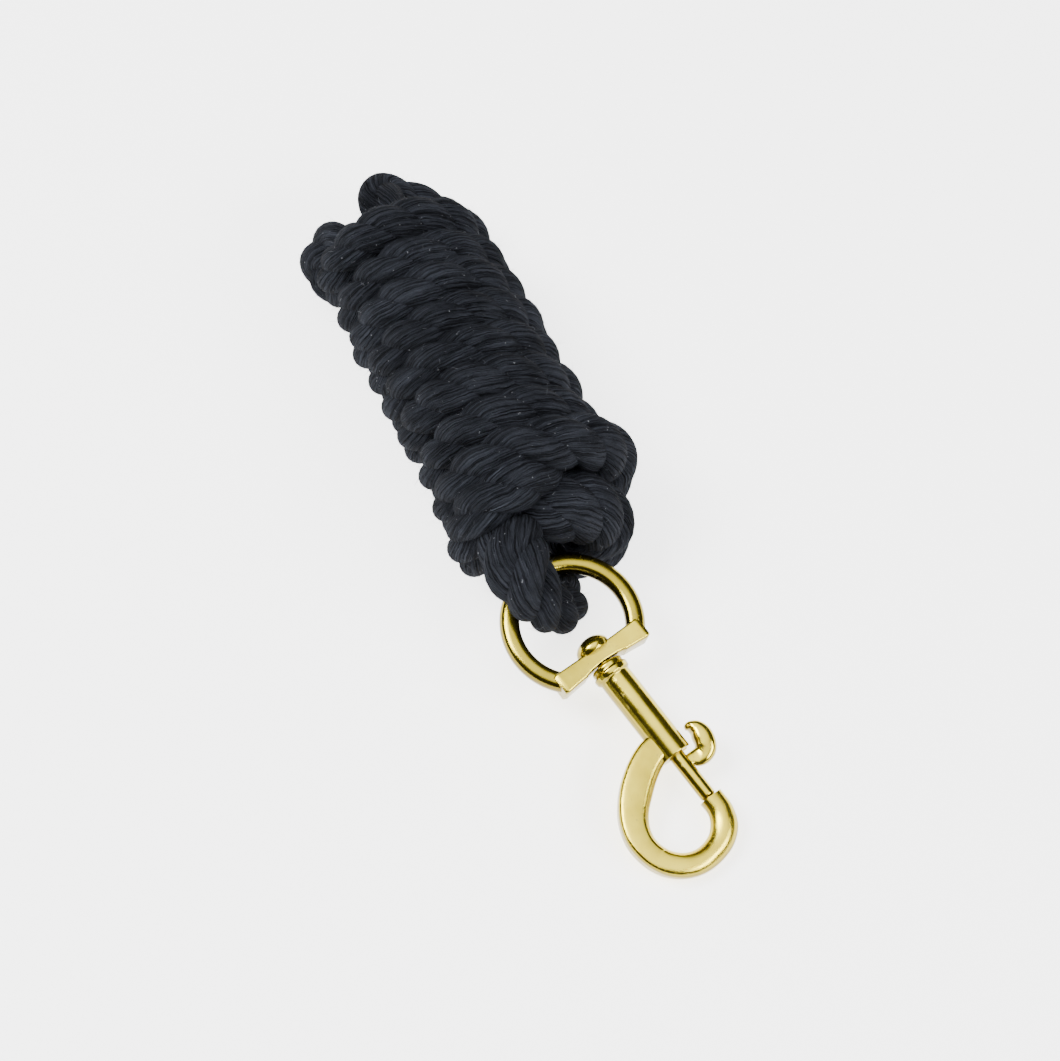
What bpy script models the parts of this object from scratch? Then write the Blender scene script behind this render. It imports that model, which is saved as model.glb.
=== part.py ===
"""Lead rope for horses: a cotton rope wound into a hank, with a swivel bolt snap.

The hank lies along +X on the floor (z = 0) and the snap points the same way, turned a
little towards +Y and sloping down from the rope eye to the floor.  Lengths are in metres.
"""
import math

import bmesh
import bpy
import numpy as np
from mathutils import Vector

MM = 0.001

# ---- driving dimensions -----------------------------------------------------------------
# from the hank's own design point to the middle of the whole object on the floor
FRAME_SHIFT = (-72.85 * MM, -2.64 * MM, 0.0)

# wound hank
HANK_DIAMETER = (55.6 * MM, 57.5 * MM)   # over the turns, at the far and at the near end
HANK_FLAT = 0.7 * MM            # how much the hank's own weight flattens it underneath
FIRST_TURN_X = -17.0 * MM
TURN_SPACING = (11.8 * MM, 13.4 * MM)    # from turn to turn, far end and near end
TURN_COUNT = 7                  # tight turns in the hank's solid; the last turn is a tube
TURN_GROOVE = 1.7 * MM
END_FACE_RADIUS = 15.0 * MM     # the hank's ends are rounded off down to this radius
END_ROUNDING = 5.0 * MM
ROPE_RADIUS = 5.6 * MM          # cord pressed together by the winding
ROPE_RADIUS_EYE = 5.5 * MM      # in the eye, where the metal ring needs room to swing
ROPE_STEP = 4.5 * MM            # distance between a cord tube's points

# swivel eye of the snap: a round ring closed by a bar
RING_RADIUS = 18.9 * MM
RING_WIRE = 3.0 * MM
RING_OPEN_ANGLE = math.radians(43.0)     # the ring's ends stand this far from its axis
BAR_HALF_LENGTH = 15.0 * MM
BAR_HALF_DEPTH = 3.9 * MM
BAR_INNER = 10.4 * MM           # the bar's two long faces, at its ends
BAR_OUTER = 17.0 * MM
BAR_INNER_BOW = 0.9 * MM        # how much nearer the middle they stand half way along
BAR_OUTER_BOW = 1.7 * MM
BAR_EDGE = 0.7 * MM
SNAP_ORIGIN = (115.5 * MM, -5.8 * MM, 18.35 * MM)
SNAP_YAW = math.radians(12.7)
SNAP_PITCH = math.radians(10.5)

# snap, measured along its axis from the middle of the ring
RIVET_TOP = 6.7 * MM
RIVET_HEAD_RADIUS = 4.9 * MM
RIVET_HEAD_BASE = 11.0 * MM
RIVET_RADIUS = 2.25 * MM
RIVET_END = 25.6 * MM
NECK_START = 17.9 * MM
NECK_RADIUS = 3.7 * MM
BARREL_START = 19.8 * MM
BARREL_END = 50.0 * MM
BARREL_RADIUS = 5.0 * MM
BORE_RADIUS = 3.0 * MM
BORE_START = 26.0 * MM
SLOT_START = 38.6 * MM
SLOT_HALF_WIDTH = 1.9 * MM
HOOK_HALF_DEPTH = 3.2 * MM
ROD_RADIUS = 2.4 * MM
ROD_START = 44.0 * MM
ROD_SHOULDER = 65.3 * MM
NOSE_RADIUS = 1.8 * MM
NOSE_END = 67.0 * MM
KNOB_AT = 53.6 * MM             # the thumb knob's pin in the rod
KNOB_PIN_RADIUS = 0.9 * MM
SPRING_WIRE = 0.28 * MM
SPRING_RADIUS = 2.3 * MM
SPRING_TURNS = 9
GAP = 0.3 * MM


def clear_scene():
    for obj in list(bpy.data.objects):
        bpy.data.objects.remove(obj)


def material(name, colour, roughness, metallic):
    mat = bpy.data.materials.new(name)
    mat.use_nodes = True
    shader = mat.node_tree.nodes["Principled BSDF"]
    shader.inputs["Base Color"].default_value = (*colour, 1.0)
    shader.inputs["Roughness"].default_value = roughness
    shader.inputs["Metallic"].default_value = metallic
    return mat


def add_object(name, data, mat, parent, location=(0.0, 0.0, 0.0)):
    obj = bpy.data.objects.new(name, data)
    bpy.context.scene.collection.objects.link(obj)
    obj.data.materials.append(mat)
    obj.parent = parent
    obj.location = location
    return obj


def empty(name, location, rotation=(0.0, 0.0, 0.0), parent=None):
    obj = bpy.data.objects.new(name, None)
    bpy.context.scene.collection.objects.link(obj)
    obj.location = location
    obj.rotation_euler = rotation
    obj.parent = parent
    return obj


def finish_mesh(bm, name, sharp_degrees=40.0):
    bmesh.ops.remove_doubles(bm, verts=bm.verts, dist=1e-7)
    bmesh.ops.recalc_face_normals(bm, faces=bm.faces)
    mesh = bpy.data.meshes.new(name)
    bm.to_mesh(mesh)
    bm.free()
    mesh.shade_smooth()
    mesh.set_sharp_from_angle(angle=math.radians(sharp_degrees))
    return mesh


def catmull(knots, low, share):
    """The point between knot low and the next one on the smooth curve through the knots."""
    before = knots[low - 1] if low > 0 else 2 * knots[0] - knots[1]
    here, there = knots[low], knots[low + 1]
    after = knots[low + 2] if low + 2 < len(knots) else 2 * knots[-1] - knots[-2]
    bend = 2 * before - 5 * here + 4 * there - after
    return 0.5 * (2 * here + (there - before) * share + bend * share ** 2
                  + (3 * here - before - 3 * there + after) * share ** 3)


def smooth_points(points, step):
    """Points at about one step apart on the smooth curve through the given points."""
    knots = [np.array(p, dtype=float) for p in points]
    out = []
    for low in range(len(knots) - 1):
        count = max(1, int(round(np.linalg.norm(knots[low + 1] - knots[low]) / step)))
        out += [catmull(knots, low, i / count) for i in range(count)]
    out.append(knots[-1])
    return out


def turned_mesh(name, profile, segments, sharp_degrees=40.0):
    """A profile of (x, radius) points turned about the X axis; its ends lie on the axis."""
    bm = bmesh.new()
    rings = []
    for x, radius in profile:
        if radius < 1e-7:
            rings.append([bm.verts.new((x, 0.0, 0.0))])
            continue
        ring = []
        for k in range(segments):
            angle = 2 * math.pi * k / segments
            ring.append(bm.verts.new((x, radius * math.cos(angle), radius * math.sin(angle))))
        rings.append(ring)
    for left, right in zip(rings, rings[1:]):
        for k in range(segments):
            n = (k + 1) % segments
            if len(left) == 1:
                bm.faces.new((left[0], right[n], right[k]))
            elif len(right) == 1:
                bm.faces.new((left[k], left[n], right[0]))
            else:
                bm.faces.new((left[k], left[n], right[n], right[k]))
    return finish_mesh(bm, name, sharp_degrees)


def section_mesh(name, sections, closed_ends=True, sharp_degrees=50.0):
    """A skin over a row of closed sections with the same number of points each."""
    bm = bmesh.new()
    rows = [[bm.verts.new(p) for p in section] for section in sections]
    count = len(rows[0])
    for left, right in zip(rows, rows[1:]):
        for k in range(count):
            n = (k + 1) % count
            bm.faces.new((left[k], left[n], right[n], right[k]))
    if closed_ends:
        bm.faces.new(rows[0])
        bm.faces.new(rows[-1])
    return finish_mesh(bm, name, sharp_degrees)


def tube_curve(name, points, radius, resolution):
    curve = bpy.data.curves.new(name, "CURVE")
    curve.dimensions = "3D"
    curve.bevel_depth = radius
    curve.bevel_resolution = resolution
    curve.use_fill_caps = True
    spline = curve.splines.new("POLY")
    spline.points.add(len(points) - 1)
    for target, point in zip(spline.points, points):
        target.co = (*point, 1.0)
    return curve


def add_boolean(obj, operation, tool):
    tool.hide_render = True
    tool.display_type = "WIRE"
    modifier = obj.modifiers.new(operation.title(), "BOOLEAN")
    modifier.operation = operation
    modifier.solver = "EXACT"
    modifier.object = tool


# ---- rope -------------------------------------------------------------------------------

def turn_positions():
    """X of each tight turn; the spacing grows evenly towards the snap."""
    x = FIRST_TURN_X
    out = [x]
    for k in range(1, TURN_COUNT):
        share = (k - 1) / (TURN_COUNT - 2)
        x += TURN_SPACING[0] + (TURN_SPACING[1] - TURN_SPACING[0]) * share
        out.append(x)
    return out


def wrapped_turns(mat, frame):
    """The tight turns and the rope folded inside them, as the hank's outer shape."""
    turns = turn_positions()
    half = [TURN_SPACING[0] / 2]
    half += [(b - a) / 2 for a, b in zip(turns, turns[1:])]
    half.append(TURN_SPACING[1] / 2)
    far, near = HANK_DIAMETER[0] / 2, HANK_DIAMETER[1] / 2
    first, last = turns[0] - half[0], turns[-1] + half[-1]
    steps = 4
    profile = [(first, 0.0), (first, END_FACE_RADIUS)]
    for k, x in enumerate(turns):
        radius = far + (near - far) * k / (TURN_COUNT - 1)
        for i in range(steps + 1):
            if i == 0 and k > 0:
                continue
            t = -1.0 + 2.0 * i / steps
            reach = half[k] if t < 0 else half[k + 1]
            drop = TURN_GROOVE * (1.0 - math.sqrt(max(0.0, 1.0 - t * t)))
            if (k == 0 and i == 0) or (k == TURN_COUNT - 1 and i == steps):
                drop = END_ROUNDING
            profile.append((x + t * reach, radius - drop))
    profile += [(last, END_FACE_RADIUS), (last, 0.0)]
    mesh = turned_mesh("wrapped_turns", profile, 40, 60.0)
    # every turn rests on the floor, and is pressed flat there
    for vert in mesh.vertices:
        share = (vert.co.x - turns[0]) / (turns[-1] - turns[0])
        share = min(1.0, max(0.0, share))
        vert.co.z = max(0.0, vert.co.z + far + (near - far) * share - HANK_FLAT)
    return add_object("wrapped_turns", mesh, mat, frame)


def rope_route(points):
    """Hand-chosen route points, in millimetres, as a smooth row of points in metres."""
    return smooth_points([Vector(p) * MM for p in points], ROPE_STEP)


def rope_tube(name, points, radius, mat, frame):
    return add_object(name, tube_curve(name, rope_route(points), radius, 3), mat, frame)


def rope_stretches(mat, frame):
    """The stretches of the rope that lie outside the tight turns."""
    rope_tube("rope_eye", [
        (65.7, -8.5, 28.5), (70.0, -8.5, 28.5), (77.0, -9.6, 29.8), (85.5, -11.0, 33.2),
        (92.0, -14.4, 35.2), (99.2, -16.8, 34.8), (106.6, -14.9, 31.0), (111.2, -11.2, 24.2),
        (111.0, -7.6, 16.4), (106.2, -4.6, 10.0), (99.5, -4.2, 7.6), (92.5, -6.5, 9.5)],
        ROPE_RADIUS_EYE, mat, frame)
    rope_tube("near_bight", [
        (65.7, 3.2, 24.8), (70.0, 3.2, 24.8), (76.0, 2.4, 26.6), (82.8, 1.8, 30.6),
        (87.4, 7.0, 31.2), (89.8, 13.6, 27.0), (89.4, 18.0, 21.0), (84.6, 18.4, 18.8),
        (77.0, 15.2, 20.4), (70.0, 14.8, 21.5), (65.7, 14.8, 21.5)], ROPE_RADIUS, mat, frame)
    rope_tube("far_bight_low", [
        (-23.3, -9.0, 28.0), (-27.0, -9.0, 28.0), (-34.0, -12.0, 26.5), (-41.5, -16.5, 21.0),
        (-41.0, -18.0, 13.5), (-34.5, -13.0, 11.5), (-27.5, -8.0, 14.5), (-23.3, -8.0, 14.5)],
        ROPE_RADIUS, mat, frame)
    rope_tube("far_bight_top", [
        (-23.3, 4.0, 32.0), (-27.0, 4.0, 32.0), (-34.0, 3.4, 32.8), (-41.0, 3.2, 33.2),
        (-46.4, 5.6, 29.6), (-46.4, 10.6, 23.6), (-41.6, 16.4, 20.0), (-35.6, 20.0, 15.4),
        (-31.8, 17.4, 9.4), (-31.0, 8.0, 6.3), (-31.5, 1.0, 6.0)], ROPE_RADIUS, mat, frame)
    rope_tube("last_turn", [
        (70.8, -7.0, 49.4), (72.5, 8.0, 48.8), (73.5, 22.0, 41.5), (74.0, 28.6, 28.0),
        (75.0, 24.5, 12.5), (77.5, 9.0, 6.2), (80.0, -8.0, 7.0), (81.0, -20.5, 15.5),
        (80.6, -23.0, 29.0), (79.6, -18.4, 41.0), (79.2, -6.5, 45.2), (75.5, 2.5, 40.5),
        (70.0, 3.2, 37.2), (65.7, 3.2, 37.2)], ROPE_RADIUS, mat, frame)


# ---- swivel eye -------------------------------------------------------------------------

def swivel_eye(mat, pivot):
    """Ring and bar, cast in one.  The pivot stands on the ring, where the rope bears."""
    offset = Vector((RING_RADIUS, 0.0, 0.0))
    count = 44
    sections = []
    for i in range(count + 1):
        angle = RING_OPEN_ANGLE + (2 * math.pi - 2 * RING_OPEN_ANGLE) * i / count
        centre = Vector((math.cos(angle), math.sin(angle), 0.0)) * RING_RADIUS + offset
        out = Vector((math.cos(angle), math.sin(angle), 0.0))
        section = []
        for k in range(12):
            turn = 2 * math.pi * k / 12
            section.append(centre + out * RING_WIRE * math.cos(turn)
                           + Vector((0.0, 0.0, RING_WIRE * math.sin(turn))))
        sections.append(section)
    ring = add_object("swivel_eye", section_mesh("swivel_eye", sections), mat, pivot)

    # the bar bows towards the ring; its face towards the barrel is hollowed a little
    sections = []
    for i in range(13):
        y = BAR_HALF_LENGTH * (2 * i / 12 - 1)
        bow = 1.0 - (y / BAR_HALF_LENGTH) ** 2
        low = BAR_INNER + BAR_INNER_BOW * bow
        high = BAR_OUTER - BAR_OUTER_BOW * bow
        depth = BAR_HALF_DEPTH
        cut = BAR_EDGE
        corners = [(low + cut, -depth), (high - cut, -depth), (high, -depth + cut),
                   (high, depth - cut), (high - cut, depth), (low + cut, depth),
                   (low, depth - cut), (low, -depth + cut)]
        sections.append([Vector((x, y, z)) + offset for x, z in corners])
    bar = add_object("bar_blank", section_mesh("bar_blank", sections), mat, pivot)
    hole_radius = RIVET_RADIUS + GAP
    hole = add_object("bar_hole", turned_mesh("bar_hole", [
        (RIVET_TOP, 0.0), (RIVET_TOP, hole_radius), (BARREL_START, hole_radius),
        (BARREL_START, 0.0)], 24), mat, pivot, offset)
    add_boolean(ring, "UNION", bar)
    add_boolean(ring, "DIFFERENCE", hole)
    return ring


def swivel_rivet(mat, axis):
    """Domed head inside the ring, shank through the bar and into the barrel."""
    dome_height = 3.7 * MM
    head = [(RIVET_TOP, 0.0)]
    for i in range(1, 7):
        turn = math.radians(90.0 * i / 6)
        head.append((RIVET_TOP + dome_height * (1 - math.cos(turn)),
                     RIVET_HEAD_RADIUS * math.sin(turn)))
    head += [(RIVET_HEAD_BASE, RIVET_HEAD_RADIUS), (RIVET_HEAD_BASE, RIVET_RADIUS),
             (RIVET_END, RIVET_RADIUS), (RIVET_END, 0.0)]
    return add_object("swivel_rivet", turned_mesh("swivel_rivet", head, 24), mat, axis)


# ---- snap body --------------------------------------------------------------------------

# outer edge and inner edge of the hook, in millimetres from the middle of the ring
HOOK_EDGES = [
    ((42.0, -2.0), (49.3, -2.6)),
    ((41.4, -7.6), (50.6, -6.0)),
    ((43.8, -13.9), (52.6, -9.6)),
    ((48.6, -20.6), (55.6, -13.7)),
    ((55.0, -25.9), (59.0, -17.7)),
    ((62.3, -28.6), (62.8, -20.2)),
    ((69.5, -28.2), (66.9, -20.9)),
    ((75.6, -25.6), (70.9, -19.6)),
    ((79.9, -21.3), (73.7, -17.0)),
    ((82.3, -15.8), (75.1, -13.9)),
    ((82.6, -9.6), (75.2, -10.5)),
    ((80.9, -3.2), (74.1, -7.2)),
    ((77.0, 1.7), (71.9, -4.8)),
    ((71.5, 3.9), (69.2, -3.5)),
    ((65.7, 3.9), (65.7, -3.3)),
]


def hook_sections(points_each):
    """Rounded sections across the hook, from the barrel round to its tip."""
    outer = np.array([(x * MM, y * MM, 0.0) for (x, y), _ in HOOK_EDGES])
    inner = np.array([(x * MM, y * MM, 0.0) for _, (x, y) in HOOK_EDGES])
    squareness = 0.62
    sections = []
    for mark in np.linspace(0.0, len(HOOK_EDGES) - 1, 2 * len(HOOK_EDGES) + 1):
        low = min(int(mark), len(HOOK_EDGES) - 2)
        inside = catmull(inner, low, mark - low)
        outside = catmull(outer, low, mark - low)
        middle = (inside + outside) / 2
        across = (outside - inside) / 2
        section = []
        for k in range(points_each):
            turn = 2 * math.pi * (k + 0.5) / points_each
            c, s = math.cos(turn), math.sin(turn)
            side = math.copysign(abs(c) ** squareness, c)
            up = HOOK_HALF_DEPTH * math.copysign(abs(s) ** squareness, s)
            section.append(Vector(middle + across * side) + Vector((0.0, 0.0, up)))
        sections.append(section)
    return sections


def snap_body(mat, axis):
    """Barrel and hook, cast in one, bored for the bolt and slotted for the thumb knob."""
    edge = 0.7 * MM
    profile = [(NECK_START, 0.0), (NECK_START, NECK_RADIUS), (BARREL_START, NECK_RADIUS),
               (BARREL_START, BARREL_RADIUS - edge), (BARREL_START + edge, BARREL_RADIUS),
               (BARREL_END - edge, BARREL_RADIUS), (BARREL_END, BARREL_RADIUS - edge),
               (BARREL_END, 0.0)]
    barrel = add_object("snap_body", turned_mesh("snap_body", profile, 32), mat, axis)
    hook = add_object("hook_blank", section_mesh("hook_blank", hook_sections(12)), mat, axis)
    past = 2.0 * MM
    rivet_hole = RIVET_RADIUS + GAP
    bore = add_object("bore_cut", turned_mesh("bore_cut", [
        (NECK_START - past, 0.0), (NECK_START - past, rivet_hole), (BORE_START, rivet_hole),
        (BORE_START, BORE_RADIUS), (BARREL_END + past, BORE_RADIUS), (BARREL_END + past, 0.0)],
        24), mat, axis)
    socket = add_object("socket_cut", turned_mesh("socket_cut", [
        (ROD_SHOULDER - past, 0.0), (ROD_SHOULDER - past, NOSE_RADIUS + GAP),
        (NOSE_END + GAP, NOSE_RADIUS + GAP), (NOSE_END + GAP, 0.0)], 24), mat, axis)
    slot_bm = bmesh.new()
    bmesh.ops.create_cube(slot_bm, size=1.0)
    for vert in slot_bm.verts:
        vert.co.x = SLOT_START if vert.co.x < 0 else BARREL_END + past
        vert.co.y = BORE_RADIUS / 3 if vert.co.y < 0 else BARREL_RADIUS + past
        vert.co.z = math.copysign(SLOT_HALF_WIDTH, vert.co.z)
    slot = add_object("slot_cut", finish_mesh(slot_bm, "slot_cut"), mat, axis)
    add_boolean(barrel, "UNION", hook)
    add_boolean(barrel, "DIFFERENCE", bore)
    add_boolean(barrel, "DIFFERENCE", slot)
    add_boolean(barrel, "DIFFERENCE", socket)
    return barrel


# ---- bolt -------------------------------------------------------------------------------

def plunger_bolt(mat, axis):
    """The sliding rod that closes the hook, with a cross hole for the thumb knob's pin."""
    edge = 0.4 * MM
    profile = [(ROD_START, 0.0), (ROD_START, ROD_RADIUS - edge),
               (ROD_START + edge, ROD_RADIUS), (ROD_SHOULDER - edge, ROD_RADIUS),
               (ROD_SHOULDER, ROD_RADIUS - edge), (ROD_SHOULDER, NOSE_RADIUS),
               (NOSE_END - edge, NOSE_RADIUS), (NOSE_END, NOSE_RADIUS - edge), (NOSE_END, 0.0)]
    rod = add_object("plunger_bolt", turned_mesh("plunger_bolt", profile, 24), mat, axis)
    hole_bottom = 0.2 * MM
    hole_radius = KNOB_PIN_RADIUS + GAP
    hole = add_object("pin_hole", turned_mesh("pin_hole", [
        (hole_bottom, 0.0), (hole_bottom, hole_radius), (2 * ROD_RADIUS, hole_radius),
        (2 * ROD_RADIUS, 0.0)], 16), mat, axis, (KNOB_AT, 0.0, 0.0))
    hole.rotation_euler = (0.0, 0.0, math.pi / 2)
    add_boolean(rod, "DIFFERENCE", hole)
    return rod


def thumb_knob(mat, axis):
    """A curled thumb piece on a pin.  The part in the slot is narrower than the slot."""
    pin_foot, pin_top = 0.6 * MM, 4.2 * MM
    pin = add_object("thumb_knob", turned_mesh("thumb_knob", [
        (pin_foot, 0.0), (pin_foot, KNOB_PIN_RADIUS), (pin_top, KNOB_PIN_RADIUS),
        (pin_top, 0.0)], 16), mat, axis, (KNOB_AT, 0.0, 0.0))
    pin.rotation_euler = (0.0, 0.0, math.pi / 2)
    # middle line of the curl in the knob's own plane, with half thickness and half width
    stations = [((53.6, 2.9), 1.7, 1.5), ((53.9, 4.6), 1.7, 1.5), ((54.3, 6.6), 1.6, 2.0),
                ((53.9, 8.7), 1.5, 2.4), ((52.2, 10.3), 1.5, 2.5), ((49.7, 11.1), 1.5, 2.5),
                ((47.4, 10.5), 1.5, 2.4), ((46.2, 8.9), 1.2, 2.0), ((46.2, 7.7), 0.7, 1.2)]
    knots = np.array([(x * MM, y * MM, 0.0) for (x, y), _, _ in stations])
    sizes = np.array([(t * MM, w * MM, 0.0) for _, t, w in stations])
    sections = []
    small = 0.05
    for mark in np.linspace(0.0, len(stations) - 1, 25):
        low = min(int(mark), len(stations) - 2)
        centre = catmull(knots, low, mark - low)
        thick, wide, _ = catmull(sizes, low, mark - low)
        along = Vector(catmull(knots, low, mark - low + small) - centre).normalized()
        side = Vector((along.y, -along.x, 0.0))
        section = []
        for k in range(12):
            turn = 2 * math.pi * (k + 0.5) / 12
            c, s = math.cos(turn), math.sin(turn)
            section.append(Vector(centre) + side * thick * math.copysign(abs(c) ** 0.8, c)
                           + Vector((0, 0, wide * math.copysign(abs(s) ** 0.8, s))))
        sections.append(section)
    curl = add_object("curl_blank", section_mesh("curl_blank", sections), mat, axis)
    add_boolean(pin, "UNION", curl)
    return pin


def plunger_spring(mat, axis):
    """Compression spring in the barrel, between its blind end and the rod."""
    start = BORE_START + GAP + SPRING_WIRE
    end = ROD_START - GAP - SPRING_WIRE
    per_turn = 12
    count = SPRING_TURNS * per_turn
    points = []
    for i in range(count + 1):
        angle = 2 * math.pi * i / per_turn
        points.append((start + (end - start) * i / count, SPRING_RADIUS * math.cos(angle),
                       SPRING_RADIUS * math.sin(angle)))
    return add_object("plunger_spring", tube_curve("plunger_spring", points, SPRING_WIRE, 0),
                      mat, axis)


def build():
    clear_scene()
    cotton = material("black_cotton", (0.012, 0.014, 0.018), 0.9, 0.0)
    brass = material("plated_brass", (0.80, 0.62, 0.25), 0.28, 1.0)
    steel = material("spring_steel", (0.55, 0.55, 0.56), 0.35, 1.0)

    frame = empty("lead_rope_frame", FRAME_SHIFT)
    wrapped_turns(cotton, frame)
    rope_stretches(cotton, frame)

    axis = empty("snap_axis", SNAP_ORIGIN, (0.0, SNAP_PITCH, SNAP_YAW), frame)
    pivot = empty("eye_pivot", (-RING_RADIUS, 0.0, 0.0), parent=axis)
    swivel_eye(brass, pivot)
    swivel_rivet(brass, axis)
    snap_body(brass, axis)
    plunger_bolt(brass, axis)
    thumb_knob(brass, axis)
    plunger_spring(steel, axis)


build()
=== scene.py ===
"""Looks of the lead rope: the three-strand cotton cord, the brass snap, floor, light, camera."""
import math

import bpy
import numpy as np
from mathutils import Matrix, Vector
from mathutils.bvhtree import BVHTree


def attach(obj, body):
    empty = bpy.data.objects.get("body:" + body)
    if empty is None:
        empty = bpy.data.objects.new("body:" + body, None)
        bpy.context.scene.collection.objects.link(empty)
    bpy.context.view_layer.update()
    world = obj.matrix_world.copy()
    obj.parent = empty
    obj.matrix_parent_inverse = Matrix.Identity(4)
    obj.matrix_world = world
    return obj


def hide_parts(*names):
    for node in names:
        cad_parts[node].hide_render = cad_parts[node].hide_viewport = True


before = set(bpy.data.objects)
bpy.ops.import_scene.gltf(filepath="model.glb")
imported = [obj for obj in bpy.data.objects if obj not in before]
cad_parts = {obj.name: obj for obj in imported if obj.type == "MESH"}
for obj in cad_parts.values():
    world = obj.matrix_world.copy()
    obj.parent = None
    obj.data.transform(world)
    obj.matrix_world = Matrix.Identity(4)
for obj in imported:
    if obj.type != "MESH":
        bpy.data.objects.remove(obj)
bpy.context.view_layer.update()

MM = 0.001
SHIFT = np.array((-72.85, -2.64, 0.0))      # the hank's design point to the row frame, in mm

# the snap's own axes: along it, towards the thumb knob, and up
RING_CENTRE = Vector((0.04265, -0.00844, 0.01835))
SNAP_YAW = math.radians(12.7)
SNAP_PITCH = math.radians(10.5)
SNAP_FRAME = (Matrix.Translation(RING_CENTRE) @ Matrix.Rotation(SNAP_YAW, 4, "Z")
              @ Matrix.Rotation(SNAP_PITCH, 4, "Y"))


# ---- camera -------------------------------------------------------------------------------

CAMERA_DISTANCE = 0.729


def make_camera():
    """Looks down on the hank from the snap's end, a little from the side away from the knob."""
    elevation, heading = math.radians(61.0), math.radians(64.7)
    right = Vector((math.cos(heading), math.sin(heading), 0.0))
    ahead = Vector((-math.sin(heading), math.cos(heading), 0.0))
    forward = ahead * math.cos(elevation) - Vector((0.0, 0.0, math.sin(elevation)))
    up = right.cross(forward)
    target = (Vector((80.2, -3.1, 15.6)) + Vector(SHIFT)) * MM
    camera = bpy.data.objects.new("camera", bpy.data.cameras.new("camera"))
    bpy.context.scene.collection.objects.link(camera)
    place = target - forward * CAMERA_DISTANCE
    camera.matrix_world = Matrix(((right.x, up.x, -forward.x, place.x),
                                  (right.y, up.y, -forward.y, place.y),
                                  (right.z, up.z, -forward.z, place.z), (0, 0, 0, 1)))
    camera.data.sensor_width = 36.0
    camera.data.lens = 81.0
    camera.data.clip_start, camera.data.clip_end = 0.01, 20.0
    bpy.context.scene.camera = camera


# ---- node helpers -------------------------------------------------------------------------

class Nodes:
    """A material's node tree with short ways to add and join nodes."""

    def __init__(self, name):
        self.mat = bpy.data.materials.new(name)
        self.mat.use_nodes = True
        self.tree = self.mat.node_tree
        self.shader = self.tree.nodes["Principled BSDF"]

    def put(self, target, value):
        if isinstance(value, bpy.types.NodeSocket):
            self.tree.links.new(value, target)
        elif value is not None:
            target.default_value = value

    def add(self, kind, inputs=(), **settings):
        node = self.tree.nodes.new(kind)
        for key, value in settings.items():
            setattr(node, key, value)
        for key, value in dict(inputs).items():
            self.put(node.inputs[key], value)
        return node

    def math(self, operation, a, b=None, c=None, clamp=False):
        node = self.tree.nodes.new("ShaderNodeMath")
        node.operation = operation
        node.use_clamp = clamp
        for socket, value in zip(node.inputs, (a, b, c)):
            self.put(socket, value)
        return node.outputs[0]

    def noise(self, vector, scale, detail=2.0, rough=0.5):
        node = self.add("ShaderNodeTexNoise", {"Vector": vector, "Scale": scale,
                                               "Detail": detail, "Roughness": rough})
        return node.outputs["Fac"]

    def ramp(self, value, low, high, to_low=0.0, to_high=1.0):
        node = self.add("ShaderNodeMapRange", {"Value": value, "From Min": low, "From Max": high,
                                               "To Min": to_low, "To Max": to_high})
        return node.outputs["Result"]

    def mix(self, share, a, b):
        node = self.add("ShaderNodeMix", data_type="RGBA")
        self.put(node.inputs["Factor"], share)
        self.put(node.inputs["A"], a)
        self.put(node.inputs["B"], b)
        return node.outputs["Result"]

    def bump(self, height, distance, strength=1.0, normal=None):
        node = self.add("ShaderNodeBump", {"Height": height, "Distance": distance,
                                           "Strength": strength})
        self.put(node.inputs["Normal"], normal)
        return node.outputs["Normal"]


# ---- materials ----------------------------------------------------------------------------

YARN_TURNS = 26.0               # turns that a strand's yarns make per metre of it


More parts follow.
